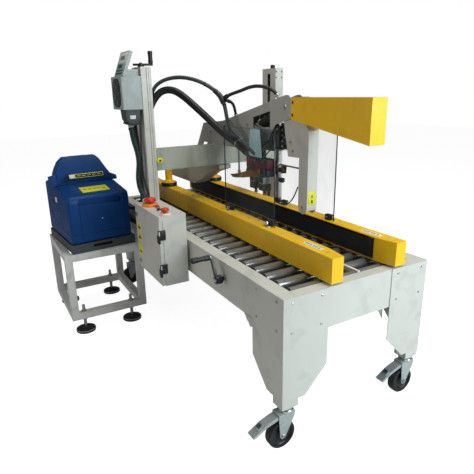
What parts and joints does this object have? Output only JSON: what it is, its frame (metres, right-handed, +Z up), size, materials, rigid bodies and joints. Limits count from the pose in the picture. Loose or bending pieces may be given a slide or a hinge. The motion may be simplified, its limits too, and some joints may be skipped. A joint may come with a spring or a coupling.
{
  "type": "carton sealer",
  "caption": "Roller-bed carton sealer with side belts, lifting flap-folding head, hot-melt glue tank on a stand, hand cranks and control cabinet.",
  "frame": {"origin": "on the floor, under the middle of the machine's bounding box", "axes": "+Z up; -X along the bed towards the outfeed, so +X faces the infeed end; -Y towards the operator's side with the cabinet, hand crank and glue tank"},
  "size_m": [1.945, 1.3006, 1.5295],
  "materials": {
    "beige_paint": "fine-textured warm white powder coat",
    "grey_paint": "satin light grey paint",
    "yellow_paint": "semi-gloss safety yellow paint",
    "blue_plastic": "grained deep blue moulding",
    "dark_plastic": "matt charcoal",
    "black_rubber": "matt black",
    "red_plastic": "glossy red",
    "copper_plate": "coppery plated sheet",
    "steel": "bright zinc-plated steel",
    "chrome": "bright zinc or chrome plating",
    "clear_sheet": "clear sheet"
  },
  "bodies": {
    "base": {"bed_frame": "beige_paint", "roller_bed": "chrome", "leg_infeed_near": "beige_paint", "leg_infeed_far": "beige_paint", "leg_outfeed_near": "beige_paint", "leg_outfeed_far": "beige_paint", "column_near": "beige_paint", "column_far": "beige_paint", "cabinet_body": "beige_paint", "control_box": "grey_paint", "display_panel": "beige_paint", "stand_frame": "beige_paint", "tank_base": "dark_plastic", "tank_housing": "blue_plastic", "melt_hose": "black_rubber", "air_hose": "black_rubber", "control_loom": "black_rubber"},
    "fork_infeed_near": {"caster_fork_infeed_near": "chrome"},
    "wheel_infeed_near": {"caster_wheel_infeed_near": "black_rubber"},
    "pedal_infeed_near": {"brake_pedal_infeed_near": "steel"},
    "fork_infeed_far": {"caster_fork_infeed_far": "chrome"},
    "wheel_infeed_far": {"caster_wheel_infeed_far": "black_rubber"},
    "pedal_infeed_far": {"brake_pedal_infeed_far": "steel"},
    "fork_outfeed_near": {"caster_fork_outfeed_near": "chrome"},
    "wheel_outfeed_near": {"caster_wheel_outfeed_near": "black_rubber"},
    "fork_outfeed_far": {"caster_fork_outfeed_far": "chrome"},
    "wheel_outfeed_far": {"caster_wheel_outfeed_far": "black_rubber"},
    "head": {"cross_beam": "grey_paint", "head_plate_near": "grey_paint", "head_plate_far": "grey_paint", "boom": "yellow_paint", "press_shoe": "grey_paint", "plough_near": "copper_plate", "plough_far": "copper_plate", "glue_head": "dark_plastic", "fold_mast": "steel", "valve_line": "black_rubber", "sensor_line": "black_rubber"},
    "kicker": {"kicker_arm": "grey_paint"},
    "crank_lift": {"lift_crank": "steel"},
    "screw_far": {"lead_screw_far": "steel"},
    "grip_lift": {"lift_crank_grip": "black_rubber"},
    "side_near": {"rail_near": "yellow_paint", "belt_near": "black_rubber", "guard_near": "clear_sheet"},
    "drive_near": {"drive_pulley_near": "steel"},
    "idler_near": {"idler_pulley_near": "steel"},
    "side_far": {"rail_far": "yellow_paint", "belt_far": "black_rubber", "guard_far": "clear_sheet"},
    "drive_far": {"drive_pulley_far": "steel"},
    "idler_far": {"idler_pulley_far": "steel"},
    "crank_width": {"width_crank": "steel"},
    "grip_width": {"width_crank_grip": "black_rubber"},
    "door": {"cabinet_door": "beige_paint"},
    "estop_main_cap": {"estop_main": "red_plastic"},
    "estop_small_cap": {"estop_small": "red_plastic"},
    "reset_button_cap": {"reset_button": "red_plastic"},
    "start_button_cap": {"start_button": "dark_plastic"},
    "lid": {"tank_lid": "blue_plastic"}
  },
  "joints": [
    {"name": "swivel_infeed_near", "type": "hinge", "parent": "base", "child": "fork_infeed_near", "pos_m": [0.9405, -0.11275, 0.1805], "axis": [0, 0, 1], "continuous": true},
    {"name": "roll_infeed_near", "type": "hinge", "parent": "fork_infeed_near", "child": "wheel_infeed_near", "pos_m": [0.9405, -0.13675, 0.06], "axis": [1, 0, 0], "continuous": true},
    {"name": "brake_infeed_near", "type": "hinge", "parent": "fork_infeed_near", "child": "pedal_infeed_near", "pos_m": [0.9405, -0.16075, 0.143], "axis": [1, 0, 0], "range_deg": [0, 10]},
    {"name": "swivel_infeed_far", "type": "hinge", "parent": "base", "child": "fork_infeed_far", "pos_m": [0.9405, 0.55225, 0.1805], "axis": [0, 0, 1], "continuous": true},
    {"name": "roll_infeed_far", "type": "hinge", "parent": "fork_infeed_far", "child": "wheel_infeed_far", "pos_m": [0.9405, 0.52825, 0.06], "axis": [1, 0, 0], "continuous": true},
    {"name": "brake_infeed_far", "type": "hinge", "parent": "fork_infeed_far", "child": "pedal_infeed_far", "pos_m": [0.9405, 0.50425, 0.143], "axis": [1, 0, 0], "range_deg": [0, 10]},
    {"name": "swivel_outfeed_near", "type": "hinge", "parent": "base", "child": "fork_outfeed_near", "pos_m": [-0.9405, -0.11275, 0.1805], "axis": [0, 0, 1], "continuous": true},
    {"name": "roll_outfeed_near", "type": "hinge", "parent": "fork_outfeed_near", "child": "wheel_outfeed_near", "pos_m": [-0.9405, -0.13675, 0.06], "axis": [1, 0, 0], "continuous": true},
    {"name": "swivel_outfeed_far", "type": "hinge", "parent": "base", "child": "fork_outfeed_far", "pos_m": [-0.9405, 0.55225, 0.1805], "axis": [0, 0, 1], "continuous": true},
    {"name": "roll_outfeed_far", "type": "hinge", "parent": "fork_outfeed_far", "child": "wheel_outfeed_far", "pos_m": [-0.9405, 0.52825, 0.06], "axis": [1, 0, 0], "continuous": true},
    {"name": "head_lift", "type": "slide", "parent": "base", "child": "head", "axis": [0, 0, 1], "range_m": [-0.02, 0.33], "deforming": ["melt_hose", "air_hose"]},
    {"name": "kicker_swing", "type": "hinge", "parent": "head", "child": "kicker", "pos_m": [0.4515, 0.25575, 1.257], "axis": [0, -1, 0], "range_deg": [0, 35]},
    {"name": "lift_crank_turn", "type": "hinge", "parent": "base", "child": "crank_lift", "pos_m": [-0.2365, -0.18425, 1.465], "axis": [0, 0, 1], "continuous": true},
    {"name": "lift_screw_far_turn", "type": "hinge", "parent": "base", "child": "screw_far", "pos_m": [-0.2365, 0.62375, 1.465], "axis": [0, 0, 1], "continuous": true},
    {"name": "lift_grip_spin", "type": "hinge", "parent": "crank_lift", "child": "grip_lift", "pos_m": [-0.2228, -0.13615, 1.5075], "axis": [0, 0, 1], "continuous": true},
    {"name": "rail_near_slide", "type": "slide", "parent": "base", "child": "side_near", "axis": [0, 1, 0], "range_m": [-0.09, 0.04]},
    {"name": "drive_pulley_near_turn", "type": "hinge", "parent": "side_near", "child": "drive_near", "pos_m": [-0.9243, 0.113, 0.693], "axis": [0, 0, 1], "continuous": true},
    {"name": "idler_pulley_near_turn", "type": "hinge", "parent": "side_near", "child": "idler_near", "pos_m": [0.841, 0.113, 0.693], "axis": [0, 0, 1], "continuous": true},
    {"name": "rail_far_slide", "type": "slide", "parent": "base", "child": "side_far", "axis": [0, 1, 0], "range_m": [-0.04, 0.09]},
    {"name": "drive_pulley_far_turn", "type": "hinge", "parent": "side_far", "child": "drive_far", "pos_m": [-0.9243, 0.3985, 0.693], "axis": [0, 0, 1], "continuous": true},
    {"name": "idler_pulley_far_turn", "type": "hinge", "parent": "side_far", "child": "idler_far", "pos_m": [0.841, 0.3985, 0.693], "axis": [0, 0, 1], "continuous": true},
    {"name": "width_crank_turn", "type": "hinge", "parent": "base", "child": "crank_width", "pos_m": [0.5364, -0.18025, 0.563], "axis": [0, 1, 0], "continuous": true},
    {"name": "width_grip_spin", "type": "hinge", "parent": "crank_width", "child": "grip_width", "pos_m": [0.4945, -0.23525, 0.653], "axis": [0, 1, 0], "continuous": true},
    {"name": "cabinet_door_hinge", "type": "hinge", "parent": "base", "child": "door", "pos_m": [0.1845, -0.30075, 0.595], "axis": [0, 0, 1], "range_deg": [0, 110]},
    {"name": "estop_main_press", "type": "slide", "parent": "base", "child": "estop_main_cap", "axis": [0, 0, -1], "range_m": [0, 0.006], "stiffness_N_per_m": 900, "springref_m": -0.001},
    {"name": "estop_small_press", "type": "slide", "parent": "base", "child": "estop_small_cap", "axis": [0, 0, -1], "range_m": [0, 0.005], "stiffness_N_per_m": 800, "springref_m": -0.001},
    {"name": "reset_button_press", "type": "slide", "parent": "base", "child": "reset_button_cap", "axis": [0, 0, -1], "range_m": [0, 0.003], "stiffness_N_per_m": 500, "springref_m": -0.001},
    {"name": "start_button_press", "type": "slide", "parent": "base", "child": "start_button_cap", "axis": [0, 0, -1], "range_m": [0, 0.003], "stiffness_N_per_m": 500, "springref_m": -0.001},
    {"name": "tank_lid_hinge", "type": "hinge", "parent": "base", "child": "lid", "pos_m": [-0.87086, -0.47074, 0.837], "axis": [0.0872, -0.9962, 0], "range_deg": [0, 80]}
  ],
  "couplings": [
    {"joint": "lift_crank_turn", "follows": "head_lift", "rad_per_m": 157.08},
    {"joint": "lift_screw_far_turn", "follows": "head_lift", "rad_per_m": 157.08},
    {"joint": "rail_far_slide", "follows": "rail_near_slide", "ratio": -1},
    {"joint": "width_crank_turn", "follows": "rail_near_slide", "rad_per_m": 157.08}
  ]
}
